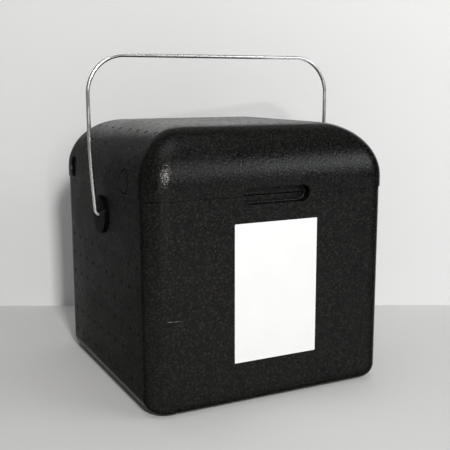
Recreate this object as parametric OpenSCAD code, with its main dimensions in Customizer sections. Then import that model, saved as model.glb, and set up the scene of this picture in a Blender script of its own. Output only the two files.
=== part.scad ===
// Insulated foam delivery box with a lift-off cap lid and a steel wire bail.
// Millimetres. X runs to the right of the front, Y to the back, Z up.
// The origin is on the base, in the middle of the box.

/* [Box] */
// Width of the tub across the front
body_w = 286; // [240:1:340]
// Depth of the tub from front to back
body_d = 294; // [240:1:340]
// Height of the tub, up to the seam
tub_h = 224; // [200:1:280]
// Radius of the upright corner edges
corner_r = 25; // [20:1:40]
// Radius of the edges round the base
base_r = 16; // [6:1:18]
// Thickness of the foam side walls
wall_t = 30; // [28:1:34]
// Thickness of the foam floor
floor_t = 30; // [20:1:40]
// Radius of the upright corners inside the tub
cavity_r = 14; // [8:1:20]
// Radius where the inside walls meet the floor
cavity_floor_r = 8; // [4:1:12]

/* [Lid] */
// Height of the lid, from the seam to its flat top
lid_h = 71; // [65:1:100]
// How far the lid stands out past the tub all round
lid_proud = 1.1; // [0.5:0.1:3]
// Radius of the broad shoulder round the top of the lid
shoulder_r = 60; // [45:1:65]
// Plan radius left at the corners of the flat top
top_corner_r = 8; // [4:1:12]
// Thickness of the foam roof
roof_t = 28; // [20:1:32]
// Radius of the shoulder inside the lid
inner_shoulder_r = 32; // [20:1:38]
// Plan radius of the corners of the flat ceiling inside the lid
ceiling_corner_r = 5; // [3:1:8]

/* [Rim joint] */
// Height of the tongue on the tub's rim
rim_h = 12; // [8:1:16]
// Thickness of the tongue
rim_t = 13; // [8:1:16]
// Side gap between the tongue and the lid
rim_side_gap = 0.6; // [0.3:0.1:1.5]
// Gap above the tongue
rim_top_gap = 0.8; // [0.4:0.1:2]
// Gap at the seam with the lid closed
seam_gap = 0.3; // [0.2:0.1:0.8]

/* [Finger recess] */
// Width of the recess across the seam at the front
recess_w = 80; // [60:1:120]
// Height of the recess
recess_h = 18; // [12:1:24]
// Depth of the recess into the front wall
recess_depth = 10; // [6:1:14]

/* [Bail] */
// Diameter of the steel wire
wire_d = 4.5; // [3.5:0.1:6]
// Distance of the bail's axis below the seam
pivot_drop = 31; // [26:1:60]
// Distance from the bail's axis to the middle of its grip
bail_reach = 176; // [175:0.5:200]
// Distance from the side of the tub out to the middle of an upright arm
arm_out = 11.25; // [11:0.25:16]
// Bend radius of the two grip corners
bail_corner_r = 42.5; // [30:0.5:50]
// Radius of the gentle curve by which an arm comes to lean in
bail_lean_r = 1000; // [500:125:1000]
// Length of the straight stretch that leans in towards the box
bail_lean_l = 25; // [12.5:6.25:31.25]
// Bend radius where the arms turn in to the box
bail_foot_r = 6.25; // [3.125:3.125:6.25]
// Length of wire past the inner end of the bush
wire_tail = 4; // [2.5:0.5:5]

/* [Bushes] */
// Diameter of the bush flange on the outside of the wall
bush_flange_d = 42; // [34:1:46]
// Thickness of the bush flange
bush_flange_t = 6; // [4:0.5:8]
// How far the bush flange stands out from the wall
bush_proud = 3; // [1.5:0.5:3.5]
// Rounding of the rim of the bush flange
bush_round = 0.6; // [0.6:0.2:2.4]
// Diameter of the bush hub inside the wall
hub_d = 18; // [14:1:22]
// Distance from the inner end of the hub to the inside face of the wall
hub_back = 8; // [7:0.5:10]
// Room round the wire in the wide mouth that its foot bend sinks into
mouth_gap = 1.75; // [1.25:0.25:3]
// Depth of the mouth past the start of the foot bend
mouth_past = 0.5; // [0.25:0.25:2]
// Radial running clearance of the wire in the bush
wire_clear = 0.05; // [0.02:0.01:0.09]
// Width of the split through the bush flange
split_w = 1; // [0.6:0.1:2]
// Angle of the split above level, towards the front
split_angle = 18; // [0:1:45]
// Depth of the split into the flange face
split_depth = 2; // [1:0.5:2.5]
// Gap between a bush or a cap and the foam round it
seat_gap = 0.2; // [0.1:0.1:0.5]

/* [Inner caps and push nuts] */
// Diameter of the inner cap's flange
cap_flange_d = 42; // [34:1:46]
// Thickness of the inner cap's flange
cap_flange_t = 4; // [3:0.5:5]
// Outer diameter of the cap's sleeve round the hub
cap_sleeve_d = 26; // [24:1:30]
// Length of the sleeve behind the cap's flange
cap_sleeve_l = 12; // [10:0.5:12]
// Radial gap between the hub and the sleeve
sleeve_gap = 0.1; // [0.05:0.05:0.3]
// Thickness of the cap over the end of the wire
cap_end_t = 1.6; // [1.2:0.2:2]
// Diameter of the push nut on the end of the wire
nut_d = 11; // [9:0.5:12]
// Thickness of the push nut
nut_t = 1.2; // [0.8:0.1:1.6]
// Gap between the push nut and the end of the hub
nut_gap = 0.3; // [0.2:0.1:0.5]
// Radial gap between the push nut and the wire
nut_grip_gap = 0.02; // [0.01:0.01:0.05]
// Radial room round the push nut inside the cap
nut_room = 1.5; // [1:0.25:2]

/* [Label] */
// Width of the blank label on the front
label_w = 99; // [60:1:140]
// Height of the label
label_h = 148; // [80:1:150]
// Thickness of the label
label_t = 0.2; // [0.1:0.05:0.4]
// Distance from the seam down to the top of the label
label_drop = 27.5; // [12:0.5:34]
// Radius of the label's corners
label_r = 1; // [0.5:0.5:4]

/* [Hidden] */
$fn = 96;
wire_fn = 96;
curve_fn = 960;
eps = 0.01;
// Length by which cuts run past the faces they open
over = 1;
shoulder_steps = 10;
corner_steps = 8;
seam_z = tub_h;
pivot_z = seam_z - pivot_drop;
label_z = seam_z - label_drop - label_h / 2;
lid_w = body_w + 2 * lid_proud;
lid_d = body_d + 2 * lid_proud;
lid_corner_r = corner_r + lid_proud;
cavity_w = body_w - 2 * wall_t;
cavity_d = body_d - 2 * wall_t;
groove_h = rim_h + rim_top_gap;
wire_r = wire_d / 2;
bore_r = wire_r + wire_clear;
flange_seat = bush_flange_t - bush_proud;
hub_end = wall_t - hub_back;
cap_start = wall_t - cap_flange_t;
sleeve_start = cap_start - cap_sleeve_l;
chamber_r = nut_d / 2 + nut_room;
wire_end = hub_end + wire_tail;
// Sine and cosine of the lean of the arms' lower ends
lean_sin = 0.07584;
lean_cos = 0.99712;
lean = atan2(lean_sin, lean_cos);
arm_x = body_w / 2 + arm_out;
foot_bend_x = arm_x - bail_lean_r * (1 - lean_cos) - bail_lean_l * lean_sin - bail_foot_r * lean_cos;
lean_low_z = bail_foot_r * (1 - lean_sin);
lean_start_z = lean_low_z + bail_lean_l * lean_cos + bail_lean_r * lean_sin;
arm_top_z = bail_reach - bail_corner_r;
grip_half = arm_x - bail_corner_r;
mouth_r = wire_r + mouth_gap;
mouth_end = body_w / 2 - foot_bend_x + mouth_past;

foam_colour = [0.09, 0.09, 0.09];
plastic_colour = [0.05, 0.05, 0.055];
steel_colour = [0.75, 0.76, 0.78];
label_colour = [0.95, 0.95, 0.94];

// Flat rounded rectangle about the origin
module rounded_rect(w, d, r) {
    square([w - 2 * r, d], center = true);
    square([w, d - 2 * r], center = true);
    for (x = [-1, 1], y = [-1, 1])
        translate([x * (w / 2 - r), y * (d / 2 - r)])
            circle(r);
}

// Half profile from an axis: square top, rounded lower outer edge
module low_round_profile(w, h, r) {
    translate([0, r]) square([w, h - r]);
    square([w - r, r + eps]);
    translate([w - r, r]) circle(r);
}

// Upright block with rounded corners and a rounded lower edge
module soft_base_block(w, d, h, corner, low) {
    for (side = [0, 180]) {
        rotate([90, 0, side])
            translate([0, 0, corner - d / 2])
                linear_extrude(d - 2 * corner) low_round_profile(w / 2, h, low);
        rotate([90, 0, side + 90])
            translate([0, 0, corner - w / 2])
                linear_extrude(w - 2 * corner) low_round_profile(d / 2, h, low);
    }
    for (x = [-1, 1], y = [-1, 1])
        translate([x * (w / 2 - corner), y * (d / 2 - corner), 0])
            rotate_extrude() intersection() {
                low_round_profile(corner, h, low);
                square([corner, h]);
            }
}

// Points of one level of a dome: a rounded rectangle at height z
function dome_level(w, d, r, z) = [
    for (q = [0 : 3], i = [0 : corner_steps])
        let (a = 90 * q + 90 * i / corner_steps, sx = q == 0 || q == 3 ? 1 : -1, sy = q < 2 ? 1 : -1)
            [sx * (w / 2 - r) + r * cos(a), sy * (d / 2 - r) + r * sin(a), z]
];

// Dome that rises from z = 0 to h, with a broad shoulder of the given radius
module soft_dome(w, d, h, corner, shoulder, top_corner) {
    ring = 4 * (corner_steps + 1);
    levels = shoulder_steps + 2;
    points = concat(
        dome_level(w, d, corner, 0),
        [for (i = [0 : shoulder_steps])
            let (a = 90 * i / shoulder_steps, inset = shoulder * (1 - cos(a)))
                each dome_level(w - 2 * inset, d - 2 * inset,
                    corner - (corner - top_corner) * inset / shoulder,
                    h - shoulder + shoulder * sin(a))]
    );
    sides = [for (k = [0 : levels - 2], i = [0 : ring - 1], half = [0, 1])
        let (a = k * ring + i, b = k * ring + (i + 1) % ring)
            half == 0 ? [a, a + ring, b] : [b, a + ring, b + ring]];
    floor_face = [for (i = [0 : ring - 1]) i];
    roof_face = [for (i = [ring - 1 : -1 : 0]) (levels - 1) * ring + i];
    polyhedron(points, concat(sides, [floor_face, roof_face]));
}

// Stadium-shaped cut across the seam at the front
module finger_recess() {
    translate([0, recess_depth - body_d / 2, seam_z])
        rotate([90, 0, 0])
            linear_extrude(recess_depth + lid_proud + over) {
                square([recess_w - recess_h, recess_h], center = true);
                for (x = [-1, 1])
                    translate([x * (recess_w - recess_h) / 2, 0]) circle(d = recess_h);
            }
}

// Places children on the bail's axis: local Z points into the box from the side wall's outer face
module at_side(side) {
    translate([side * body_w / 2, 0, pivot_z])
        rotate([0, -side * 90, 0])
            children();
}

// Stepped hole for a bush and its inner cap, from the outer face inwards
module bush_hole() {
    translate([0, 0, -over]) cylinder(r = bush_flange_d / 2 + seat_gap, h = over + flange_seat);
    cylinder(r = hub_d / 2 + seat_gap, h = wall_t);
    translate([0, 0, sleeve_start - seat_gap])
        cylinder(r = cap_sleeve_d / 2 + seat_gap, h = wall_t);
    translate([0, 0, cap_start])
        cylinder(r = cap_flange_d / 2 + seat_gap, h = cap_flange_t + over);
}

module tub() {
    color(foam_colour)
    difference() {
        union() {
            soft_base_block(body_w, body_d, seam_z, corner_r, base_r);
            translate([0, 0, seam_z - over])
                linear_extrude(rim_h + over)
                    rounded_rect(cavity_w + 2 * rim_t, cavity_d + 2 * rim_t, cavity_r + rim_t);
        }
        translate([0, 0, floor_t])
            soft_base_block(cavity_w, cavity_d, seam_z, cavity_r, cavity_floor_r);
        finger_recess();
        for (side = [-1, 1]) at_side(side) bush_hole();
    }
}

module lid() {
    color(foam_colour)
    difference() {
        translate([0, 0, seam_z + seam_gap])
            soft_dome(lid_w, lid_d, lid_h - seam_gap, lid_corner_r, shoulder_r, top_corner_r);
        translate([0, 0, seam_z])
            soft_dome(cavity_w, cavity_d, lid_h - roof_t, cavity_r, inner_shoulder_r,
                ceiling_corner_r);
        translate([0, 0, seam_z - over])
            linear_extrude(groove_h + over)
                rounded_rect(cavity_w + 2 * (rim_t + rim_side_gap), cavity_d + 2 * (rim_t + rim_side_gap),
                    cavity_r + rim_t + rim_side_gap);
        finger_recess();
    }
}

// Quarter bend of the wire in the XZ plane about the origin, from start_angle
module wire_bend(r, start_angle, steps = $fn) {
    rotate([90, 0, 0])
        rotate([0, 0, start_angle])
            rotate_extrude(angle = 90, $fn = steps)
                translate([r, 0]) circle(wire_r, $fn = wire_fn);
}

// Block over a bend of radius r about the origin, above or below the plane square to the leaning arm
module lean_block(r, above) {
    span = 2 * (r + wire_d);
    rotate([0, lean, 0])
        translate([-span / 2, -wire_d, above ? 0 : -span])
            cube([span, 2 * wire_d, span]);
}

// Right-hand half of the bail, about its own axis at z = 0
module bail_half() {
    shank_x = body_w / 2 - wire_end;
    translate([shank_x, 0, 0])
        rotate([0, 90, 0])
            cylinder(r = wire_r, h = foot_bend_x - shank_x);
    translate([foot_bend_x, 0, bail_foot_r])
        difference() {
            wire_bend(bail_foot_r, -90);
            lean_block(bail_foot_r, true);
        }
    translate([foot_bend_x + bail_foot_r * lean_cos, 0, lean_low_z])
        rotate([0, lean, 0])
            cylinder(r = wire_r, h = bail_lean_l);
    translate([arm_x - bail_lean_r, 0, lean_start_z])
        difference() {
            wire_bend(bail_lean_r, -90, curve_fn);
            lean_block(bail_lean_r, false);
        }
    translate([arm_x, 0, lean_start_z])
        cylinder(r = wire_r, h = arm_top_z - lean_start_z);
    translate([grip_half, 0, arm_top_z])
        wire_bend(bail_corner_r, 0);
    translate([0, 0, bail_reach])
        rotate([0, 90, 0])
            cylinder(r = wire_r, h = grip_half);
}

module bail() {
    color(steel_colour)
    translate([0, 0, pivot_z]) {
        bail_half();
        mirror([1, 0, 0]) bail_half();
    }
}

// Flanged plastic bush that carries one end of the wire
module bush(side) {
    color(plastic_colour)
    at_side(side)
        difference() {
            union() {
                rotate_extrude() {
                    translate([0, bush_round - bush_proud])
                        square([bush_flange_d / 2, bush_flange_t - bush_round]);
                    translate([0, -bush_proud])
                        square([bush_flange_d / 2 - bush_round, bush_flange_t]);
                    intersection() {
                        translate([bush_flange_d / 2 - bush_round, bush_round - bush_proud])
                            circle(bush_round);
                        translate([0, -bush_proud]) square([bush_flange_d, bush_flange_t]);
                    }
                }
                cylinder(r = hub_d / 2, h = hub_end);
            }
            translate([0, 0, -bush_proud - over]) cylinder(r = bore_r, h = hub_end + bush_proud + 2 * over);
            translate([0, 0, -bush_proud - over]) cylinder(r = mouth_r, h = mouth_end + bush_proud + over);
            rotate([0, 0, side * (90 - split_angle) - 90])
                translate([0, -split_w / 2, -bush_proud - over])
                    cube([bush_flange_d, split_w, split_depth + over]);
        }
}

// Cap that clips on the hub from inside the box and covers the end of the wire
module inner_cap(side) {
    color(plastic_colour)
    at_side(side)
        difference() {
            union() {
                translate([0, 0, cap_start]) cylinder(r = cap_flange_d / 2, h = cap_flange_t);
                translate([0, 0, sleeve_start]) cylinder(r = cap_sleeve_d / 2, h = cap_sleeve_l + eps);
            }
            translate([0, 0, sleeve_start - over])
                cylinder(r = hub_d / 2 + sleeve_gap, h = hub_end - sleeve_start + over);
            translate([0, 0, hub_end - over])
                cylinder(r = chamber_r, h = wall_t - cap_end_t - hub_end + over);
        }
}

// Spring-steel push nut on the end of the wire, behind the hub
module push_nut(side) {
    color(steel_colour)
    at_side(side)
        translate([0, 0, hub_end + nut_gap])
            difference() {
                cylinder(r = nut_d / 2, h = nut_t);
                translate([0, 0, -over]) cylinder(r = wire_r + nut_grip_gap, h = nut_t + 2 * over);
            }
}

module label() {
    color(label_colour)
    translate([0, -body_d / 2, label_z])
        rotate([90, 0, 0])
            linear_extrude(label_t) rounded_rect(label_w, label_h, label_r);
}

tub();
lid();
bail();
bush(-1);  // bush_left
bush(1);  // bush_right
inner_cap(-1);  // inner_cap_left
inner_cap(1);  // inner_cap_right
push_nut(-1);  // push_nut_left
push_nut(1);  // push_nut_right
label();
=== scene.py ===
"""Looks of a foam delivery box: tub, cap lid, wire bail, fittings, label and stage.

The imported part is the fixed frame. Every length is in metres, in that frame: +X to the
right as seen from the front, +Y to the back, +Z up, with the base at the origin.
"""

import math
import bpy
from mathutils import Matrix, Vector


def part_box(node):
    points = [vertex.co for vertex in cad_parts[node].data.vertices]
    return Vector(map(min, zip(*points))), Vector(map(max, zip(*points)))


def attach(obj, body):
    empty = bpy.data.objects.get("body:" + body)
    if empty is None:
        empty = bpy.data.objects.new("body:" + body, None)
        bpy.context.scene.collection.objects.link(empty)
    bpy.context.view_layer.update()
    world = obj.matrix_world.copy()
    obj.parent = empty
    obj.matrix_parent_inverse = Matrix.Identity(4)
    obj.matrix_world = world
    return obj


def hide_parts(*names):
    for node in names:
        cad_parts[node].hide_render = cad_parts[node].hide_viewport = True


bl_info = {
    "name": "Foam Delivery Box",
    "version": (1, 0, 0),
    "blender": (4, 5, 0),
    "location": "View3D > Sidebar > Delivery Box",
    "description": "Models a foam delivery box with a cap lid and a wire bail",
    "category": "Add Mesh",
}

from contextlib import contextmanager

import bmesh
import bpy
from bpy.props import FloatProperty, FloatVectorProperty, IntProperty, PointerProperty
from mathutils import Matrix, Vector

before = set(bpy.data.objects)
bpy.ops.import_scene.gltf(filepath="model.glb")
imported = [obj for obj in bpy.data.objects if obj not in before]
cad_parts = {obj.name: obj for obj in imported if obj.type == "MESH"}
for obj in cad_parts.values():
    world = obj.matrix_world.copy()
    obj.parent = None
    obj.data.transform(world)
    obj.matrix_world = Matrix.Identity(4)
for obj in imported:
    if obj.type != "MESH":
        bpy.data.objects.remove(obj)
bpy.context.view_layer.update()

TINY = 1e-5
QUARTER = math.pi / 2
SIDES = (-1, 1)

# Faces across a softened edge, the angle from which an edge is softened, the angle up to
# which faces are shaded smooth, and how far flat faces pull the normals, out of 100
SOFT_STEPS = 3
SOFT_ANGLE = math.radians(40)
SMOOTH_ANGLE = math.radians(34)
FLAT_WEIGHT = 80

TUB_LOW, TUB_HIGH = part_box("tub")
LID_LOW, LID_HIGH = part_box("lid")


# Properties

def length(name, description, default, low=0.0, high=2.0):
    return FloatProperty(name=name, description=description, default=default,
                         min=low, max=high, precision=4, unit="LENGTH", subtype="DISTANCE")


def colour(name, description, default):
    return FloatVectorProperty(name=name, description=description, default=default,
                               min=0.0, max=1.0, size=3, subtype="COLOR")


class TubSizes(bpy.types.PropertyGroup):
    seam: length("Seam height", "Top of the tub's outer wall", 0.224)
    corner: length("Corner radius", "Radius of the upright corners", 0.025)
    base: length("Base radius", "Rounding where the sides meet the base", 0.016)
    wall: length("Wall", "Thickness of the side walls", 0.030)
    floor: length("Floor", "Thickness of the floor", 0.030)
    cavity: length("Cavity corner", "Upright corner radius of the space inside", 0.014)
    cavity_floor: length("Floor corner", "Rounding between inner walls and floor", 0.008)
    rim: length("Tongue thickness", "Thickness of the tongue round the rim", 0.013)
    rim_corner: length("Tongue corner", "Outer corner radius of the tongue", 0.027)
    edge: length("Edge rounding", "Small rounding of the moulded edges", 0.0005)
    pivot: length("Pivot height", "Height of the bail's axis", 0.193)


class LidSizes(bpy.types.PropertyGroup):
    corner: length("Corner radius", "Upright corner radius at the lower edge", 0.0261)
    top_corner: length("Top corner", "Corner radius of the flat top", 0.008)
    shoulder: length("Shoulder", "Radius of the broad rounded shoulder", 0.060)
    groove_side: length("Groove gap", "Gap between groove and tongue, at the side", 0.0006)
    groove_top: length("Groove play", "Gap between groove and tongue, above", 0.0008)
    ceiling: length("Ceiling", "Height of the ceiling inside the lid", 0.267)
    inner_shoulder: length("Inner shoulder", "Rounding under the ceiling", 0.032)
    ceiling_corner: length("Ceiling corner", "Corner radius of the flat ceiling", 0.005)


class DetailSizes(bpy.types.PropertyGroup):
    recess_width: length("Recess width", "Width of the finger recess", 0.080)
    recess_height: length("Recess height", "Height of the finger recess", 0.018)
    recess_depth: length("Recess depth", "Depth of the finger recess", 0.010)
    vent: length("Vent diameter", "Diameter of the small moulding vents", 0.0042)
    vent_depth: length("Vent depth", "Depth of the vents", 0.0024)
    vent_pitch: length("Vent pitch", "Distance from vent to vent", 0.025)
    mark: length("Mark diameter", "Diameter of the round moulding marks", 0.0275)


class BailSizes(bpy.types.PropertyGroup):
    wire: length("Wire diameter", "Diameter of the bail's wire", 0.0045)
    inner_end: length("Inner end", "Distance of the wire's ends from the middle", 0.117)
    spread: length("Spread", "Distance of the upright arms from the middle", 0.15425)
    foot: length("Foot bend", "Radius of the bend at the pivot", 0.00625)
    lean: FloatProperty(name="Lean", description="Outward lean of the arms above the pivot",
                        default=math.asin(0.07584), min=0.0, max=0.5, unit="ROTATION",
                        subtype="ANGLE")
    lean_length: length("Lean length", "Length of the straight part that leans", 0.025)
    bow: length("Bow", "Radius of the slow curve up the arms", 1.0)
    corner: length("Corner bend", "Radius of the upper bends", 0.0425)
    reach: length("Reach", "Distance from the pivot to the grip", 0.176)


class BoxFinish(bpy.types.PropertyGroup):
    foam: colour("Foam", "Colour of the foam", (0.0001, 0.0001, 0.0001))
    foam_worn: colour("Foam, light beads", "Colour of the lighter beads", (0.0190, 0.0172, 0.0157))
    bead: length("Bead size", "Size of the foam's beads", 0.0034)
    fitting: colour("Fittings", "Colour of the plastic fittings", (0.0018, 0.0024, 0.0024))
    wire: colour("Wire", "Colour of the plated wire", (0.78, 0.78, 0.77))
    spring: colour("Spring steel", "Colour of the push nuts", (0.40, 0.40, 0.41))
    label: colour("Label", "Colour of the label", (0.74, 0.748, 0.75))


class StageSettings(bpy.types.PropertyGroup):
    floor: colour("Floor", "Colour of the floor", (0.62, 0.62, 0.615))
    wall: colour("Wall", "Colour of the backdrop", (0.74, 0.745, 0.75))
    wall_gap: length("Wall distance", "Distance of the backdrop behind the box", 0.239)
    wall_height: length("Wall height", "Height of the backdrop", 0.60)
    wall_width: length("Wall width", "Width of the backdrop", 0.86)
    azimuth: FloatProperty(name="Camera azimuth", default=math.radians(26.66), unit="ROTATION",
                           description="Angle of the camera to the left of the front",
                           subtype="ANGLE")
    elevation: FloatProperty(name="Camera elevation", default=math.radians(10.05),
                             description="Angle of the camera above the floor",
                             unit="ROTATION", subtype="ANGLE")
    roll: FloatProperty(name="Camera roll", default=math.radians(-0.10), unit="ROTATION",
                        description="Turn of the camera about its own axis", subtype="ANGLE")
    distance: length("Camera distance", "Distance of the camera from what it aims at",
                     0.9529, high=10.0)
    aim_side: length("Aim to the side", "Sideways shift of the aim", 0.0117, low=-1.0)
    aim_height: length("Aim height", "Height that the camera aims at", 0.1689)
    lens: FloatProperty(name="Lens", description="Focal length in millimetres",
                        default=62.80, min=10.0, max=300.0)


class ModelSteps(bpy.types.PropertyGroup):
    corner: IntProperty(name="Corner steps", description="Faces round an upright corner",
                        default=14, min=4, max=48)
    shoulder: IntProperty(name="Shoulder steps", description="Faces up the lid's shoulder",
                          default=24, min=6, max=64)
    wire: IntProperty(name="Wire sides", description="Faces round the wire",
                      default=24, min=8, max=64)


# Selecting and shaping

def deselect():
    if bpy.context.mode != "OBJECT":
        bpy.ops.object.mode_set(mode="OBJECT")
    bpy.ops.object.select_all(action="DESELECT")


def choose(obj):
    """Selects only this object and makes it active."""
    deselect()
    obj.select_set(True)
    bpy.context.view_layer.objects.active = obj


@contextmanager
def edit_mode(obj):
    choose(obj)
    bpy.ops.object.mode_set(mode="EDIT")
    bpy.ops.mesh.select_mode(type="VERT")
    bpy.ops.mesh.select_all(action="DESELECT")
    yield
    bpy.ops.object.mode_set(mode="OBJECT")


def select_where(obj, kind, test):
    """Selects the verts, edges or faces that pass the test, and raises an error if none does."""
    bpy.ops.mesh.select_mode(type={"verts": "VERT", "edges": "EDGE", "faces": "FACE"}[kind])
    bpy.ops.mesh.select_all(action="DESELECT")
    shape = bmesh.from_edit_mesh(obj.data)
    chosen = [part for part in getattr(shape, kind) if test(part)]
    if not chosen:
        raise RuntimeError(f"nothing to select among the {kind} of {obj.name}")
    for part in chosen:
        part.select_set(True)
    shape.select_flush_mode()
    bmesh.update_edit_mesh(obj.data)


def near(a, b):
    return abs(a - b) < TINY


def edge_is_upright(edge):
    a, b = (v.co for v in edge.verts)
    return near(a.x, b.x) and near(a.y, b.y)


def lies_at(axis, value):
    """A test for edges or faces with every corner at one value of an axis."""
    return lambda part: all(near(v.co[axis], value) for v in part.verts)


def name_piece(obj, name):
    obj.name = name
    obj.data.name = name
    return obj


def add_block(name, low, high):
    deselect()
    low, high = Vector(low), Vector(high)
    bpy.ops.mesh.primitive_cube_add(size=1, location=(low + high) / 2, scale=high - low)
    bpy.ops.object.transform_apply(location=True, rotation=True, scale=True)
    return name_piece(bpy.context.object, name)


def add_disc(name, centre, axis, radius, sides, filled=True):
    """A disc or a bare ring whose normal is the axis."""
    deselect()
    turn = Vector(axis).to_track_quat("Z", "Y").to_euler()
    bpy.ops.mesh.primitive_circle_add(vertices=sides, radius=radius, location=centre,
                                      rotation=turn, fill_type="NGON" if filled else "NOTHING")
    bpy.ops.object.transform_apply(location=True, rotation=True, scale=True)
    return name_piece(bpy.context.object, name)


def round_edges(obj, test, radius, steps):
    with edit_mode(obj):
        select_where(obj, "edges", test)
        bpy.ops.mesh.bevel(offset=radius, segments=steps, affect="EDGES")


def rounded_block(name, low, high, corner, steps):
    block = add_block(name, low, high)
    round_edges(block, edge_is_upright, corner, steps)
    return block


def turn_faces_out(obj):
    with edit_mode(obj):
        bpy.ops.mesh.select_all(action="SELECT")
        bpy.ops.mesh.remove_doubles(threshold=TINY / 10)
        bpy.ops.mesh.normals_make_consistent(inside=False)


def drilled_disc(obj, centre, axis, steps):
    """Extrudes a disc along the axis through steps of (distance, radius scale after it)."""
    centre, axis = Vector(centre), Vector(axis).normalized()
    with edit_mode(obj):
        bpy.ops.mesh.select_all(action="SELECT")
        for distance, scale in steps:
            move = {"value": axis * distance}
            bpy.ops.mesh.extrude_region_move(TRANSFORM_OT_translate=move)
            centre = centre + axis * distance
            if scale != 1:
                bpy.ops.transform.resize(value=(scale,) * 3, center_override=centre)
    turn_faces_out(obj)
    return obj


def combine(target, tool, operation):
    """Joins or cuts the target with the tool, which is then removed."""
    choose(target)
    modifier = target.modifiers.new(operation.lower(), "BOOLEAN")
    modifier.operation = operation
    modifier.solver = "EXACT"
    modifier.object = tool
    bpy.ops.object.modifier_apply(modifier=modifier.name)
    if not target.data.polygons:
        raise RuntimeError(f"{target.name} came out empty from its {operation.lower()}")
    bpy.data.objects.remove(tool)


def soften_edges(obj, width):
    """Gives every edge steeper than the soft angle a small rounding."""
    choose(obj)
    modifier = obj.modifiers.new("soft edges", "BEVEL")
    modifier.width = width
    modifier.segments = SOFT_STEPS
    modifier.limit_method = "ANGLE"
    modifier.angle_limit = SOFT_ANGLE
    modifier.use_clamp_overlap = False
    modifier.miter_outer = "MITER_ARC"
    bpy.ops.object.modifier_apply(modifier=modifier.name)


def shade(obj):
    """Smooth shading, with flat faces kept flat and steep corners kept sharp."""
    choose(obj)
    bpy.ops.object.shade_smooth_by_angle(angle=SMOOTH_ANGLE, keep_sharp_edges=False)
    modifier = obj.modifiers.new("flat faces", "WEIGHTED_NORMAL")
    modifier.keep_sharp = True
    modifier.weight = FLAT_WEIGHT
    bpy.ops.object.modifier_apply(modifier=modifier.name)


def stamp(obj, moves):
    """Copies the whole mesh inside its object, once for each move from its first place."""
    with edit_mode(obj):
        bpy.ops.mesh.select_all(action="SELECT")
        last = Vector((0, 0, 0))
        for move in moves:
            step = {"value": Vector(move) - last}
            bpy.ops.mesh.duplicate_move(TRANSFORM_OT_translate=step)
            last = Vector(move)


# Shapes that more than one piece uses

def dome_block(name, half, levels, corner, top_corner, shoulder, steps):
    """A block with a quarter-round shoulder, whose corner radius shrinks up to the flat top."""
    bottom, start = levels
    low = (-half[0], -half[1], bottom)
    block = rounded_block(name, low, (half[0], half[1], start), corner, steps.corner)
    with edit_mode(block):
        height, inset, radius = start, 0.0, corner
        for step in range(1, steps.shoulder + 1):
            angle = QUARTER * step / steps.shoulder
            new_height = start + shoulder * math.sin(angle)
            new_inset = shoulder * (1 - math.cos(angle))
            new_radius = corner + (top_corner - corner) * new_inset / shoulder
            select_where(block, "faces", lies_at(2, height))
            rise = {"value": (0, 0, new_height - height)}
            bpy.ops.mesh.extrude_region_move(TRANSFORM_OT_translate=rise)
            for sx in SIDES:
                for sy in SIDES:
                    select_where(block, "verts", lambda v: near(v.co.z, new_height)
                                 and v.co.x * sx > 0 and v.co.y * sy > 0)
                    old = Vector((sx * (half[0] - inset - radius),
                                  sy * (half[1] - inset - radius), new_height))
                    new = Vector((sx * (half[0] - new_inset - new_radius),
                                  sy * (half[1] - new_inset - new_radius), new_height))
                    scale = new_radius / radius
                    bpy.ops.transform.resize(value=(scale, scale, 1), center_override=old)
                    bpy.ops.transform.translate(value=new - old)
            height, inset, radius = new_height, new_inset, new_radius
    return block


# The recess: share of its height that the rounded ends take up, faces round each end, and
# the radius and the faces of the rounding at its back
RECESS_END = 0.98
RECESS_END_STEPS = 9
RECESS_BACK = 0.0016
RECESS_BACK_STEPS = 3


def finger_recess(box):
    """The cutter of the stadium-shaped recess that lies across the seam."""
    tub, part = box.tub, box.details
    x, z = part.recess_width / 2, part.recess_height / 2
    front = TUB_LOW.y
    back = front + part.recess_depth
    cutter = add_block("recess", (-x, front - z, tub.seam - z), (x, back, tub.seam + z))
    round_edges(cutter, lambda e: near(*(v.co.x for v in e.verts))
                and near(*(v.co.z for v in e.verts)), z * RECESS_END, RECESS_END_STEPS)
    round_edges(cutter, lies_at(1, back), RECESS_BACK, RECESS_BACK_STEPS)
    return cutter


# A vent's flared lip, its faces round, and its narrowing down to the bottom
VENT_LIP = 0.0004
VENT_SIDES = 12
VENT_TAPER = 0.7


def vent_drill(name, place, out, part):
    """A small conical drill with a flared lip, set on the surface with its axis along out."""
    out = Vector(out).normalized()
    start = Vector(place) + out * VENT_LIP
    radius = part.vent / 2
    drill = add_disc(name, start, out, radius + 2 * VENT_LIP, VENT_SIDES)
    return drilled_disc(drill, start, -out,
                        ((2 * VENT_LIP, radius / (radius + 2 * VENT_LIP)),
                         (part.vent_depth - VENT_LIP, VENT_TAPER)))


def pitch_places(pitch, count):
    """Evenly spaced places on both sides of the middle, count on each side."""
    return [side * pitch * (n + 0.5) for n in range(count) for side in SIDES]


# Tub

# Heights of the rows of vents in each side of the tub, from the base up
TUB_VENT_ROWS = (0.0275, 0.057, 0.084, 0.1055, 0.129, 0.153)
TUB_VENT_COLUMNS = 5

# The stepped hole for a bush: how far outside the wall its cutter starts, its three radii,
# and how far the cutter runs at the flange, the hub, the sleeve and the inner cap
BORE_START = 0.007
BORE_FLANGE, BORE_HUB, BORE_SLEEVE = 0.0212, 0.0092, 0.0132
BORE_RUNS = (0.010, 0.0108, 0.0122, 0.012)
BORE_SIDES = 64


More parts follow.
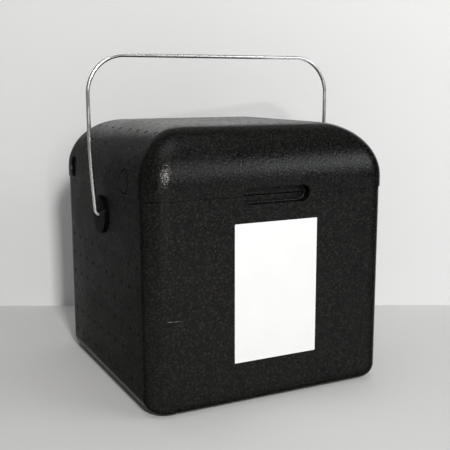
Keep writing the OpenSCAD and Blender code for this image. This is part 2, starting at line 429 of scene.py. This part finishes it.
def bush_bore(side, tub):
    """The cutter of the stepped hole that takes a bush and its inner cap."""
    start = Vector((side * (TUB_HIGH.x + BORE_START), 0, tub.pivot))
    bore = add_disc("bore", start, (side, 0, 0), BORE_FLANGE, BORE_SIDES)
    at_flange, at_hub, at_sleeve, at_cap = BORE_RUNS
    steps = ((at_flange, 1), (0, BORE_HUB / BORE_FLANGE), (at_hub, 1),
             (0, BORE_SLEEVE / BORE_HUB), (at_sleeve, 1), (0, BORE_FLANGE / BORE_SLEEVE),
             (at_cap, 1))
    return drilled_disc(bore, start, (-side, 0, 0), steps)


def side_vents(side, box):
    """The rows of vents in one side of the tub, as one cutter."""
    part = box.details
    columns = pitch_places(part.vent_pitch, TUB_VENT_COLUMNS)
    places = [(y, z) for z in TUB_VENT_ROWS for y in columns]
    first = places[0]
    drill = vent_drill("side_vents", (side * TUB_HIGH.x, *first), (side, 0, 0), part)
    stamp(drill, [(0, y - first[0], z - first[1]) for y, z in places[1:]])
    return drill


# Faces across the roundings at the tub's base and at the floor inside
BASE_STEPS = 10
CAVITY_STEPS = 6


def build_tub(box):
    tub, steps = box.tub, box.steps
    x, y = TUB_HIGH.x, TUB_HIGH.y
    body = rounded_block("tub_body", TUB_LOW, (x, y, tub.seam), tub.corner, steps.corner)
    round_edges(body, lies_at(2, TUB_LOW.z), tub.base, BASE_STEPS)
    inner = (x - tub.wall, y - tub.wall)
    outer = (inner[0] + tub.rim, inner[1] + tub.rim)
    rim_low = tub.seam - tub.wall / 2
    tongue = rounded_block("tongue", (-outer[0], -outer[1], rim_low),
                           (*outer, TUB_HIGH.z), tub.rim_corner, steps.corner)
    combine(body, tongue, "UNION")
    cavity = rounded_block("cavity", (-inner[0], -inner[1], tub.floor),
                           (*inner, TUB_HIGH.z + tub.wall), tub.cavity, steps.corner)
    round_edges(cavity, lies_at(2, tub.floor), tub.cavity_floor, CAVITY_STEPS)
    combine(body, cavity, "DIFFERENCE")
    combine(body, finger_recess(box), "DIFFERENCE")
    for side in SIDES:
        combine(body, bush_bore(side, tub), "DIFFERENCE")
    soften_edges(body, tub.edge)
    for side in SIDES:
        combine(body, side_vents(side, box), "DIFFERENCE")
    shade(body)
    return body


# Lid

# Angles up the shoulder at which rows of vents lie, and the vents' distances from the middle
SHOULDER_VENT_ANGLES = (math.radians(61.8), math.radians(38.8))
SHOULDER_VENT_PLACES = (0.0155, 0.041, 0.066, 0.092)
TOP_VENT_COLUMNS = 4


def shoulder_point(angle, y, lid):
    """A point on the lid's right shoulder, at an angle up its rounding."""
    centre = LID_HIGH.x - lid.shoulder
    return Vector((centre + lid.shoulder * math.cos(angle), y,
                   LID_HIGH.z - lid.shoulder + lid.shoulder * math.sin(angle)))


def lid_vents(box):
    """The vents in the lid's flat top and in both shoulders, as cutters."""
    part, lid = box.details, box.lid
    drills = []
    columns = pitch_places(part.vent_pitch, TOP_VENT_COLUMNS)
    places = [(x, y) for x in columns for y in columns]
    drill = vent_drill("top_vents", (*places[0], LID_HIGH.z), (0, 0, 1), part)
    stamp(drill, [(x - places[0][0], y - places[0][1], 0) for x, y in places[1:]])
    drills.append(drill)
    for side in SIDES:
        rows = [sy * y for y in SHOULDER_VENT_PLACES for sy in SIDES]
        for angle in SHOULDER_VENT_ANGLES:
            place = shoulder_point(angle, rows[0], lid)
            place.x *= side
            out = (side * math.cos(angle), 0, math.sin(angle))
            drill = vent_drill("shoulder_vents", place, out, part)
            stamp(drill, [(0, y - rows[0], 0) for y in rows[1:]])
            drills.append(drill)
    return drills


# The round marks in the lid's sides: their places in Y, their height, how far their axis
# tilts up, how far below the lid's widest line their centre lies, and their faces round
RING_Y, DISH_Y, MARK_HEIGHT = -0.080, 0.102, 0.2385
MARK_TILT = 0.05
MARK_SINK = 0.0002
MARK_SIDES = 48

# Each cutter: its radius as a share of the mark's, how far outside it starts, and its steps
RING_CUT = (1.0, 0.002, ((0.0046, 0.96),))
RING_CORE = (0.84, 0.003, ((0.0065, 1.04),))
DISH_CUT = (1.02, 0.002, ((0.0034, 0.94), (0.0014, 0.8)))


def mark_cutter(name, side, y, cut, part):
    share, start, steps = cut
    out = Vector((side, 0, MARK_TILT)).normalized()
    place = Vector((side * (LID_HIGH.x - MARK_SINK), y, MARK_HEIGHT)) + out * start
    disc = add_disc(name, place, out, part.mark / 2 * share, MARK_SIDES)
    return drilled_disc(disc, place, -out, steps)


def moulding_marks(side, box):
    """A shallow ring towards the front and a deeper dish towards the back of one side."""
    ring = mark_cutter("ring_mark", side, RING_Y, RING_CUT, box.details)
    core = mark_cutter("ring_core", side, RING_Y, RING_CORE, box.details)
    combine(ring, core, "DIFFERENCE")
    return ring, mark_cutter("dish_mark", side, DISH_Y, DISH_CUT, box.details)


def build_lid(box):
    tub, lid, steps = box.tub, box.lid, box.steps
    half = (LID_HIGH.x, LID_HIGH.y)
    start = LID_HIGH.z - lid.shoulder
    body = dome_block("lid_body", half, (LID_LOW.z, start), lid.corner,
                      lid.top_corner, lid.shoulder, steps)
    inner = (TUB_HIGH.x - tub.wall, TUB_HIGH.y - tub.wall)
    space = dome_block("inside", inner, (tub.seam - tub.wall, lid.ceiling - lid.inner_shoulder),
                       tub.cavity, lid.ceiling_corner, lid.inner_shoulder, steps)
    combine(body, space, "DIFFERENCE")
    gap = tub.rim + lid.groove_side
    groove_half = (inner[0] + gap, inner[1] + gap)
    groove = rounded_block("groove", (-groove_half[0], -groove_half[1], tub.seam - tub.wall),
                           (*groove_half, TUB_HIGH.z + lid.groove_top),
                           tub.rim_corner + lid.groove_side, steps.corner)
    combine(body, groove, "DIFFERENCE")
    combine(body, finger_recess(box), "DIFFERENCE")
    soften_edges(body, tub.edge)
    for side in SIDES:
        for mark in moulding_marks(side, box):
            combine(body, mark, "DIFFERENCE")
    for drill in lid_vents(box):
        combine(body, drill, "DIFFERENCE")
    shade(body)
    return body


# Bail

# Faces along the bail's foot bend, its slow bow and its upper bend, and the small bevel
# round its ends
FOOT_STEPS, BOW_STEPS, BEND_STEPS = 12, 8, 28
END_BEVEL, END_STEPS = 0.0004, 2


def build_bail(box):
    """One half of the wire is drawn out from its inner end to the middle, then mirrored."""
    bail = box.bail
    radius, pivot = bail.wire / 2, box.tub.pivot
    top = pivot + bail.reach
    lean_sin, lean_cos = math.sin(bail.lean), math.cos(bail.lean)
    bow_start = bail.spread - bail.bow * (1 - lean_cos)
    foot_end = bow_start - bail.lean_length * lean_sin
    shank = foot_end - bail.foot * lean_cos
    wire = add_disc("bail_wire", (bail.inner_end, 0, pivot), (1, 0, 0), radius,
                    box.steps.wire, filled=False)
    spot, heading = Vector((bail.inner_end, 0, pivot)), Vector((1, 0, 0))

    def select_end():
        select_where(wire, "verts", lambda v: (v.co - spot).length < radius * 1.05
                     and near((v.co - spot).dot(heading), 0))

    def draw_to(x, z):
        nonlocal spot
        select_end()
        move = {"value": Vector((x, 0, z)) - spot}
        bpy.ops.mesh.extrude_region_move(TRANSFORM_OT_translate=move)
        spot = Vector((x, 0, z))

    def bend_round(centre, angle, count):
        nonlocal spot, heading
        select_end()
        bpy.ops.mesh.spin(steps=count, angle=angle, center=centre, axis=(0, 1, 0))
        turn = Matrix.Rotation(-angle, 3, "Y")
        spot = Vector(centre) + turn @ (spot - Vector(centre))
        heading = turn @ heading

    with edit_mode(wire):
        draw_to(shank, pivot)
        bend_round((shank, 0, pivot + bail.foot), QUARTER - bail.lean, FOOT_STEPS)
        draw_to(bow_start, spot.z + bail.lean_length * lean_cos)
        bow_centre = (spot.x - bail.bow * lean_cos, 0, spot.z + bail.bow * lean_sin)
        bend_round(bow_centre, bail.lean, BOW_STEPS)
        draw_to(bail.spread, top - bail.corner)
        bend_round((bail.spread - bail.corner, 0, top - bail.corner), QUARTER, BEND_STEPS)
        draw_to(0, top)
        select_where(wire, "edges", lies_at(0, bail.inner_end))
        bpy.ops.mesh.edge_face_add()
        select_where(wire, "edges", lies_at(0, bail.inner_end))
        bpy.ops.mesh.bevel(offset=END_BEVEL, segments=END_STEPS, affect="EDGES")
    choose(wire)
    mirror = wire.modifiers.new("other half", "MIRROR")
    mirror.merge_threshold = TINY
    bpy.ops.object.modifier_apply(modifier=mirror.name)
    turn_faces_out(wire)
    shade(wire)
    return wire


# Node helpers

def add_node(tree, kind, inputs=None, **settings):
    """Adds a node, sets its properties, and fills its sockets with values or links."""
    node = tree.nodes.new(kind)
    for key, value in settings.items():
        setattr(node, key, value)
    for key, value in (inputs or {}).items():
        if isinstance(value, bpy.types.NodeSocket):
            tree.links.new(value, node.inputs[key])
        else:
            node.inputs[key].default_value = value
    return node


def new_group(name, inputs, outputs):
    """An empty shader node group with float and vector sockets, given as (name, kind, default)."""
    group = bpy.data.node_groups.new(name, "ShaderNodeTree")
    for direction, sockets in (("INPUT", inputs), ("OUTPUT", outputs)):
        for title, kind, *default in sockets:
            socket = group.interface.new_socket(title, in_out=direction, socket_type=kind)
            if default:
                socket.default_value = default[0]
    start = group.nodes.new("NodeGroupInput")
    end = group.nodes.new("NodeGroupOutput")
    return group, start.outputs, end.inputs


def new_material(name):
    material = bpy.data.materials.new(name)
    material.use_nodes = True
    tree = material.node_tree
    return material, tree, tree.nodes["Principled BSDF"]


def dress(obj, material):
    obj.data.materials.clear()
    obj.data.materials.append(material)


def math_node(tree, operation, a, b=0.0):
    return add_node(tree, "ShaderNodeMath", {0: a, 1: b}, operation=operation).outputs[0]


def map_range(tree, value, low, high, to_low=0.0, to_high=1.0):
    """Maps a value from one range to another, smoothly and held at both ends."""
    inputs = {"Value": value, "From Min": low, "From Max": high,
              "To Min": to_low, "To Max": to_high}
    return add_node(tree, "ShaderNodeMapRange", inputs,
                    interpolation_type="SMOOTHSTEP").outputs[0]


def mix_colour(tree, fac, a, b):
    node = tree.nodes.new("ShaderNodeMix")
    node.data_type = "RGBA"
    sockets = [s for s in node.inputs if s.enabled]
    for socket, value in zip(sockets, (fac, a, b)):
        if isinstance(value, bpy.types.NodeSocket):
            tree.links.new(value, socket)
        else:
            socket.default_value = value if socket.type == "VALUE" else (*value[:3], 1)
    return [s for s in node.outputs if s.enabled][0]


def scaled_place(tree, place, size):
    """The place divided by a size, so that one unit of a pattern is that long."""
    one_over = math_node(tree, "DIVIDE", 1.0, size)
    node = add_node(tree, "ShaderNodeVectorMath", {0: place, "Scale": one_over},
                    operation="SCALE")
    return node.outputs[0]


def object_place(tree):
    return add_node(tree, "ShaderNodeTexCoord").outputs["Object"]


# Effects

# Sizes of the waves that bend the beads' outlines and of the faint patches in the skin
WARP_SIZE = 0.006
WARP_AMOUNT = 0.45
PATCH_SIZE = 0.035


def bead_skin_group():
    """The skin of moulded bead foam: beads with fine creases between them, and a fine grain."""
    group, given, out = new_group(
        "bead_skin",
        (("Place", "NodeSocketVector"), ("Bead Size", "NodeSocketFloat", 0.0034),
         ("Grain Size", "NodeSocketFloat", 0.0012), ("Crease", "NodeSocketFloat", 0.5),
         ("Grain", "NodeSocketFloat", 0.5)),
        (("Height", "NodeSocketFloat"), ("Bead Tone", "NodeSocketFloat"),
         ("Crease Mask", "NodeSocketFloat"), ("Grain Tone", "NodeSocketFloat"),
         ("Patches", "NodeSocketFloat")))
    warp = add_node(group, "ShaderNodeTexNoise",
                    {"Vector": scaled_place(group, given["Place"], WARP_SIZE), "Scale": 1.0,
                     "Detail": 1.0})
    bend = add_node(group, "ShaderNodeVectorMath",
                    {0: warp.outputs["Color"], "Scale": WARP_AMOUNT}, operation="SCALE")
    at_beads = scaled_place(group, given["Place"], given["Bead Size"])
    bent = add_node(group, "ShaderNodeVectorMath", {0: at_beads, 1: bend.outputs[0]},
                    operation="ADD").outputs[0]
    edges = add_node(group, "ShaderNodeTexVoronoi", {"Vector": bent, "Scale": 1.0},
                     feature="DISTANCE_TO_EDGE").outputs["Distance"]
    beads = add_node(group, "ShaderNodeTexVoronoi", {"Vector": bent, "Scale": 1.0},
                     feature="F1")
    tone = add_node(group, "ShaderNodeSeparateColor", {0: beads.outputs["Color"]}).outputs[0]
    crease = map_range(group, edges, 0.0, 0.16)
    dome = map_range(group, beads.outputs["Distance"], 0.0, 0.8, 1.0, 0.0)
    at_grain = scaled_place(group, given["Place"], given["Grain Size"])
    grain = add_node(group, "ShaderNodeTexNoise",
                     {"Vector": at_grain, "Scale": 1.0, "Detail": 3.0,
                      "Roughness": 0.6}).outputs["Fac"]
    pebble = add_node(group, "ShaderNodeTexVoronoi", {"Vector": at_grain, "Scale": 0.7,
                                                      "Smoothness": 0.6},
                      feature="SMOOTH_F1").outputs["Distance"]
    fine = math_node(group, "MULTIPLY", math_node(group, "SUBTRACT", grain, pebble),
                     given["Grain"])
    bead_height = math_node(group, "ADD", crease, math_node(group, "MULTIPLY", dome, 0.6))
    coarse = math_node(group, "MULTIPLY", bead_height, given["Crease"])
    group.links.new(math_node(group, "ADD", fine, coarse), out["Height"])
    group.links.new(tone, out["Bead Tone"])
    group.links.new(map_range(group, grain, 0.47, 0.61), out["Grain Tone"])
    group.links.new(crease, out["Crease Mask"])
    group.links.new(noise(group, given["Place"], PATCH_SIZE), out["Patches"])
    return group


def dust_group():
    """Sparse small light specks."""
    group, given, out = new_group(
        "dust", (("Place", "NodeSocketVector"), ("Spacing", "NodeSocketFloat", 0.012),
                 ("Share", "NodeSocketFloat", 0.3)), (("Mask", "NodeSocketFloat"),))
    dots = add_node(group, "ShaderNodeTexVoronoi",
                    {"Vector": scaled_place(group, given["Place"], given["Spacing"]),
                     "Scale": 1.0})
    small = map_range(group, dots.outputs["Distance"], 0.03, 0.055, 1.0, 0.0)
    chance = add_node(group, "ShaderNodeSeparateColor", {0: dots.outputs["Color"]}).outputs[1]
    present = math_node(group, "LESS_THAN", chance, given["Share"])
    group.links.new(math_node(group, "MULTIPLY", small, present), out["Mask"])
    return group


def use_effect(tree, name, build, inputs):
    """Places an effect's group, built at its first use, and gives back its outputs."""
    group = bpy.data.node_groups.get(name) or build()
    return add_node(tree, "ShaderNodeGroup", inputs, node_tree=group).outputs


def noise(tree, place, size, detail=2.0):
    """A noise over a place, with patches of about the given size."""
    return add_node(tree, "ShaderNodeTexNoise",
                    {"Vector": scaled_place(tree, place, size), "Scale": 1.0,
                     "Detail": detail}).outputs["Fac"]


def add_bump(tree, shader, height, strength, distance):
    bump = add_node(tree, "ShaderNodeBump", {"Strength": strength, "Distance": distance,
                                             "Height": height})
    tree.links.new(bump.outputs[0], shader.inputs["Normal"])


# Materials

def scratch_and_highlight_mask(tree, place, centre, turn, size):
    """A thin line on a face, used for scratches and for painted highlights, with its middle, its
    turn, half length and half width.
    """
    centred = add_node(tree, "ShaderNodeMapping",
                       {"Vector": place, "Location": centre, "Rotation": turn},
                       vector_type="TEXTURE").outputs[0]
    parts = add_node(tree, "ShaderNodeSeparateXYZ", {0: centred}).outputs
    long = map_range(tree, math_node(tree, "ABSOLUTE", parts[0]), size[0] * 0.6, size[0],
                     1.0, 0.0)
    thin = map_range(tree, math_node(tree, "ABSOLUTE", parts[2]), size[1] * 0.3, size[1],
                     1.0, 0.0)
    deep = map_range(tree, math_node(tree, "ABSOLUTE", parts[1]), 0.001, 0.003, 1.0, 0.0)
    broken = noise(tree, place, 0.0018)
    mask = math_node(tree, "MULTIPLY", math_node(tree, "MULTIPLY", long, thin), deep)
    return math_node(tree, "MULTIPLY", mask, map_range(tree, broken, 0.40, 0.60))


# The foam's look: grain size, shares of the beads, the grain and the patches in its tone,
# the share and colour of its light specks, and the specular level kept under its link
FOAM_GRAIN = 0.0020
BEAD_SHARE, GRAIN_SHARE, PATCH_SHARE = 0.1, 0.85, 0.05
DUST_SHARE = 0.25
WORN_FOAM = (0.12, 0.115, 0.11)
FOAM_LEVEL = 0.1

# The short scratch low on the tub's front: middle, turn, and half length and half width
FRONT_SCRATCH = ((-0.1165, TUB_LOW.y, 0.1032), (0, 0.05, 0), (0.0105, 0.0007))


def foam_material(name, finish, scratches=()):
    """Dark bead foam: a low sheen that rises where the skin faces the eye or lies flat to it."""
    material, tree, shader = new_material(name)
    place = object_place(tree)
    skin = use_effect(tree, "bead_skin", bead_skin_group,
                      {"Place": place, "Bead Size": finish.bead, "Grain Size": FOAM_GRAIN,
                       "Crease": 0.3, "Grain": 0.9})
    dust = use_effect(tree, "dust", dust_group, {"Place": place, "Spacing": 0.016,
                                                 "Share": 0.35})["Mask"]
    tone = math_node(tree, "MULTIPLY", skin["Bead Tone"], BEAD_SHARE)
    grain = math_node(tree, "MULTIPLY", skin["Grain Tone"], GRAIN_SHARE)
    tone = math_node(tree, "ADD", tone, grain)
    patches = map_range(tree, skin["Patches"], 0.35, 0.7, 0.0, PATCH_SHARE)
    tone = math_node(tree, "ADD", tone, patches)
    beads = mix_colour(tree, tone, finish.foam, finish.foam_worn)
    # Painted shade: the creases between the beads are darkened in the colour, where shade falls
    # between them.
    crease_shaded = mix_colour(tree, skin["Crease Mask"], [c * 0.75 for c in finish.foam], beads)
    marks = math_node(tree, "MULTIPLY", dust, DUST_SHARE)
    for centre, turn, size in scratches:
        line = scratch_and_highlight_mask(tree, place, centre, turn, size)
        marks = math_node(tree, "MAXIMUM", marks, line)
    wear_and_highlight = mix_colour(tree, marks, crease_shaded, WORN_FOAM)
    tree.links.new(wear_and_highlight, shader.inputs["Base Color"])
    facing = add_node(tree, "ShaderNodeLayerWeight").outputs["Facing"]
    shine = map_range(tree, facing, 0.14, 0.54, 0.23, 0.012)
    shine = math_node(tree, "ADD", shine, map_range(tree, facing, 0.72, 0.84, 0.0, 0.17))
    shader.inputs["Specular IOR Level"].default_value = FOAM_LEVEL
    tree.links.new(shine, shader.inputs["Specular IOR Level"])
    rough = map_range(tree, skin["Patches"], 0.3, 0.7, 0.29, 0.35)
    rough = math_node(tree, "ADD", rough, math_node(tree, "MULTIPLY", skin["Bead Tone"], -0.06))
    tree.links.new(rough, shader.inputs["Roughness"])
    add_bump(tree, shader, skin["Height"], 0.34, 0.0006)
    return material


# The painted highlight along the edges of the split in a bush flange: middle in Y and Z, turn,
# half length and half width, colour
SPLIT_MIDDLE = (-0.0125, 0.1970)
SPLIT_TURN = (0, -math.radians(18), -QUARTER)
SPLIT_SIZE = (0.0095, 0.0010)
SPLIT_HIGHLIGHT = (0.10, 0.095, 0.085)


def fitting_material(finish):
    """Moulded plastic with a fine satin texture and a painted highlight along the flange's split.
    """
    material, tree, shader = new_material("fitting_plastic")
    place = object_place(tree)
    cloud = noise(tree, place, 0.012)
    dark = finish.fitting
    light = [c * 1.6 for c in dark]
    plain = mix_colour(tree, map_range(tree, cloud, 0.3, 0.7), dark, light)
    wear_and_highlight = 0.0
    for side in SIDES:
        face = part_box("bush_left")[0].x if side < 0 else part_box("bush_right")[1].x
        middle = (face, *SPLIT_MIDDLE)
        line = scratch_and_highlight_mask(tree, place, middle, SPLIT_TURN, SPLIT_SIZE)
        wear_and_highlight = math_node(tree, "MAXIMUM", wear_and_highlight, line)
    # Painted highlight: the split's edges are lightened in the colour, where they would catch the
    # light.
    tree.links.new(mix_colour(tree, wear_and_highlight, plain, SPLIT_HIGHLIGHT), shader.inputs["Base Color"])
    shader.inputs["Specular IOR Level"].default_value = 0.008
    tree.links.new(map_range(tree, cloud, 0.3, 0.7, 0.34, 0.44), shader.inputs["Roughness"])
    add_bump(tree, shader, noise(tree, place, 0.0006), 0.25, 0.0001)
    return material


def metal_material(name, tint, rough, pit):
    """Plated or bare steel with slight dulling and a fine unevenness of the pit size."""
    material, tree, shader = new_material(name)
    shader.inputs["Metallic"].default_value = 1.0
    place = object_place(tree)
    cloud = noise(tree, place, 0.009, 3.0)
    dull = [c * 0.82 for c in tint]
    tree.links.new(mix_colour(tree, map_range(tree, cloud, 0.35, 0.7), tint, dull),
                   shader.inputs["Base Color"])
    tree.links.new(map_range(tree, cloud, 0.3, 0.7, rough, rough + 0.14),
                   shader.inputs["Roughness"])
    add_bump(tree, shader, noise(tree, place, pit), 0.02, 0.0001)
    return material


def label_material(finish):
    """Satin film that takes on a trace of the foam's beads below it."""
    material, tree, shader = new_material("label_film")
    place = object_place(tree)
    skin = use_effect(tree, "bead_skin", bead_skin_group,
                      {"Place": place, "Bead Size": finish.bead, "Grain Size": 0.004,
                       "Crease": 0.5, "Grain": 0.5})
    shadow = [c * 0.965 for c in finish.label]
    tone = map_range(tree, skin["Patches"], 0.3, 0.7, 0.0, 0.6)
    tree.links.new(mix_colour(tree, tone, finish.label, shadow), shader.inputs["Base Color"])
    tree.links.new(map_range(tree, skin["Patches"], 0.3, 0.7, 0.38, 0.46),
                   shader.inputs["Roughness"])
    add_bump(tree, shader, skin["Height"], 0.18, 0.0002)
    return material


# Stage

def direction(azimuth, elevation):
    """A unit vector from the box: azimuth to the right of the front, elevation above the floor."""
    flat = math.cos(elevation)
    return Vector((math.sin(azimuth) * flat, -math.cos(azimuth) * flat, math.sin(elevation)))


def add_lamp(name, azimuth, elevation, distance, size, power, tint):
    place = LAMP_AIM + distance * direction(azimuth, elevation)
    deselect()
    bpy.ops.object.light_add(type="AREA", location=place)
    lamp = bpy.context.object
    lamp.name = name
    lamp.rotation_euler = (lamp.location - LAMP_AIM).to_track_quat("Z", "Y").to_euler()
    lamp.data.shape = "RECTANGLE"
    lamp.data.size, lamp.data.size_y = size
    lamp.data.energy = power
    lamp.data.color = tint


def add_camera(stage):
    back = direction(-stage.azimuth, stage.elevation)
    right = Vector((math.cos(stage.azimuth), -math.sin(stage.azimuth), 0))
    up = back.cross(right)
    target = right * stage.aim_side + Vector((0, 0, stage.aim_height))
    turned_right = right * math.cos(stage.roll) + up * math.sin(stage.roll)
    turned_up = up * math.cos(stage.roll) - right * math.sin(stage.roll)
    deselect()
    bpy.ops.object.camera_add()
    camera = bpy.context.object
    turn = Matrix((turned_right, turned_up, back)).transposed().to_4x4()
    camera.matrix_world = Matrix.Translation(target + back * stage.distance) @ turn
    camera.data.sensor_width = 36
    camera.data.lens = stage.lens
    camera.data.clip_start = 0.01
    bpy.context.scene.camera = camera


def plain_material(name, tint, see_through_back=False):
    """A matt pale surface with the faintest clouding."""
    material, tree, shader = new_material(name)
    cloud = noise(tree, object_place(tree), 0.3)
    darker = [c * 0.95 for c in tint]
    tree.links.new(mix_colour(tree, cloud, darker, tint), shader.inputs["Base Color"])
    shader.inputs["Roughness"].default_value = 0.85
    shader.inputs["Specular IOR Level"].default_value = 0.2
    if see_through_back:
        clear = add_node(tree, "ShaderNodeBsdfTransparent")
        behind = add_node(tree, "ShaderNodeNewGeometry").outputs["Backfacing"]
        mixed = add_node(tree, "ShaderNodeMixShader", {0: behind, 1: shader.outputs[0],
                                                       2: clear.outputs[0]})
        tree.links.new(mixed.outputs[0], tree.nodes["Material Output"].inputs["Surface"])
    return material


# Name, azimuth and elevation in degrees, distance, size, power and tint of each lamp
LAMPS = (
    ("near_lamp", -13, 26, 2.2, (0.22, 0.30), 39, (1.0, 0.98, 0.95)),
    ("window_lamp", 44, 25, 2.2, (1.4, 0.7), 14, (0.93, 0.96, 1.0)),
    ("top_lamp", 0, 88, 1.9, (1.2, 1.2), 7, (1.0, 1.0, 1.0)),
)
LAMP_AIM = Vector((0, 0, 0.16))

# The world's light, and the plain colour that only the camera sees behind the floor
WORLD_LIGHT, WORLD_STRENGTH = (0.97, 0.99, 1.0, 1), 0.18
WORLD_SEEN = (0.72, 0.725, 0.73, 1)
FLOOR_SIZE = 12
WALL_SINK = 0.01


def build_stage(box):
    stage = box.stage
    deselect()
    bpy.ops.mesh.primitive_plane_add(size=FLOOR_SIZE, location=(0, 0, 0))
    floor = name_piece(bpy.context.object, "floor")
    dress(floor, plain_material("pale_floor", stage.floor))
    deselect()
    away = -direction(-stage.azimuth, 0)
    middle = Vector((0, 0, stage.wall_height / 2 - WALL_SINK))
    bpy.ops.mesh.primitive_plane_add(size=1, location=away * stage.wall_gap + middle,
                                     rotation=(QUARTER, 0, -stage.azimuth),
                                     scale=(stage.wall_width, stage.wall_height, 1))
    bpy.ops.object.transform_apply(location=False, rotation=False, scale=True)
    wall = name_piece(bpy.context.object, "wall")
    dress(wall, plain_material("pale_wall", stage.wall, see_through_back=True))
    for name, azimuth, elevation, *light in LAMPS:
        add_lamp(name, math.radians(azimuth), math.radians(elevation), *light)
    world = bpy.data.worlds.new("studio")
    bpy.context.scene.world = world
    world.use_nodes = True
    tree = world.node_tree
    light = tree.nodes["Background"]
    light.inputs["Color"].default_value = WORLD_LIGHT
    light.inputs["Strength"].default_value = WORLD_STRENGTH
    seen = add_node(tree, "ShaderNodeBackground", {"Color": WORLD_SEEN, "Strength": 1.0})
    to_camera = add_node(tree, "ShaderNodeLightPath").outputs["Is Camera Ray"]
    mixed = add_node(tree, "ShaderNodeMixShader", {0: to_camera, 1: light.outputs[0],
                                                   2: seen.outputs[0]})
    tree.links.new(mixed.outputs[0], tree.nodes["World Output"].inputs["Surface"])
    add_camera(stage)
    bpy.context.scene.view_settings.view_transform = "Standard"


# Operators

class BoxOperator:
    bl_options = {"REGISTER", "UNDO"}


class DELIVERYBOX_OT_tub(BoxOperator, bpy.types.Operator):
    """Model the foam tub with its rim tongue, recess, bush holes and vents"""
    bl_idname = "delivery_box.tub"
    bl_label = "Tub"

    def execute(self, context):
        box = context.scene.delivery_box
        body = build_tub(box)
        dress(body, foam_material("tub_foam", box.finish, (FRONT_SCRATCH,)))
        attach(body, "tub")
        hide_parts("tub")
        return {"FINISHED"}


class DELIVERYBOX_OT_lid(BoxOperator, bpy.types.Operator):
    """Model the foam cap lid with its shoulder, groove, recess, vents and marks"""
    bl_idname = "delivery_box.lid"
    bl_label = "Lid"

    def execute(self, context):
        box = context.scene.delivery_box
        body = build_lid(box)
        dress(body, foam_material("lid_foam", box.finish))
        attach(body, "lid")
        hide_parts("lid")
        return {"FINISHED"}


class DELIVERYBOX_OT_bail(BoxOperator, bpy.types.Operator):
    """Model the bent wire bail"""
    bl_idname = "delivery_box.bail"
    bl_label = "Bail"

    def execute(self, context):
        box = context.scene.delivery_box
        wire = build_bail(box)
        dress(wire, metal_material("plated_wire", box.finish.wire, 0.18, 0.0012))
        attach(wire, "bail")
        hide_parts("bail")
        return {"FINISHED"}


class DELIVERYBOX_OT_fittings(BoxOperator, bpy.types.Operator):
    """Give the bushes, inner caps and push nuts their finish"""
    bl_idname = "delivery_box.fittings"
    bl_label = "Fittings"

    def execute(self, context):
        finish = context.scene.delivery_box.finish
        plastic = fitting_material(finish)
        for name in ("bush_left", "bush_right", "inner_cap_left", "inner_cap_right"):
            dress(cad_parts[name], plastic)
        spring = metal_material("spring_steel", finish.spring, 0.34, 0.0004)
        for name in ("push_nut_left", "push_nut_right"):
            dress(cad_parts[name], spring)
        return {"FINISHED"}


class DELIVERYBOX_OT_label(BoxOperator, bpy.types.Operator):
    """Give the blank label its film"""
    bl_idname = "delivery_box.label"
    bl_label = "Label"

    def execute(self, context):
        dress(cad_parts["label"], label_material(context.scene.delivery_box.finish))
        return {"FINISHED"}


class DELIVERYBOX_OT_stage(BoxOperator, bpy.types.Operator):
    """Set up the floor, the backdrop, the lamps and the camera"""
    bl_idname = "delivery_box.stage"
    bl_label = "Stage"

    def execute(self, context):
        build_stage(context.scene.delivery_box)
        return {"FINISHED"}


class DeliveryBox(bpy.types.PropertyGroup):
    tub: PointerProperty(type=TubSizes)
    lid: PointerProperty(type=LidSizes)
    details: PointerProperty(type=DetailSizes)
    bail: PointerProperty(type=BailSizes)
    finish: PointerProperty(type=BoxFinish)
    stage: PointerProperty(type=StageSettings)
    steps: PointerProperty(type=ModelSteps)


OPERATORS = (DELIVERYBOX_OT_tub, DELIVERYBOX_OT_lid, DELIVERYBOX_OT_bail,
             DELIVERYBOX_OT_fittings, DELIVERYBOX_OT_label, DELIVERYBOX_OT_stage)


class DELIVERYBOX_PT_panel(bpy.types.Panel):
    """Lists the pieces of the box, with their sizes and finish"""
    bl_idname = "DELIVERYBOX_PT_panel"
    bl_label = "Delivery Box"
    bl_space_type = "VIEW_3D"
    bl_region_type = "UI"
    bl_category = "Delivery Box"

    def draw(self, context):
        box = context.scene.delivery_box
        for operator in OPERATORS:
            self.layout.operator(operator.bl_idname)
        for title in ("tub", "lid", "details", "bail", "finish", "stage", "steps"):
            group = getattr(box, title)
            column = self.layout.box().column()
            column.label(text=title.capitalize())
            for key in group.bl_rna.properties.keys():
                if key not in ("rna_type", "name"):
                    column.prop(group, key)


CLASSES = (TubSizes, LidSizes, DetailSizes, BailSizes, BoxFinish, StageSettings, ModelSteps,
           DeliveryBox, *OPERATORS, DELIVERYBOX_PT_panel)


def register():
    for one in CLASSES:
        bpy.utils.register_class(one)
    bpy.types.Scene.delivery_box = PointerProperty(type=DeliveryBox)


def unregister():
    del bpy.types.Scene.delivery_box
    for one in reversed(CLASSES):
        bpy.utils.unregister_class(one)


def main():
    register()
    bpy.ops.delivery_box.tub()
    bpy.ops.delivery_box.lid()
    bpy.ops.delivery_box.bail()
    bpy.ops.delivery_box.fittings()
    bpy.ops.delivery_box.label()
    bpy.ops.delivery_box.stage()


if __name__ == "__main__":
    main()
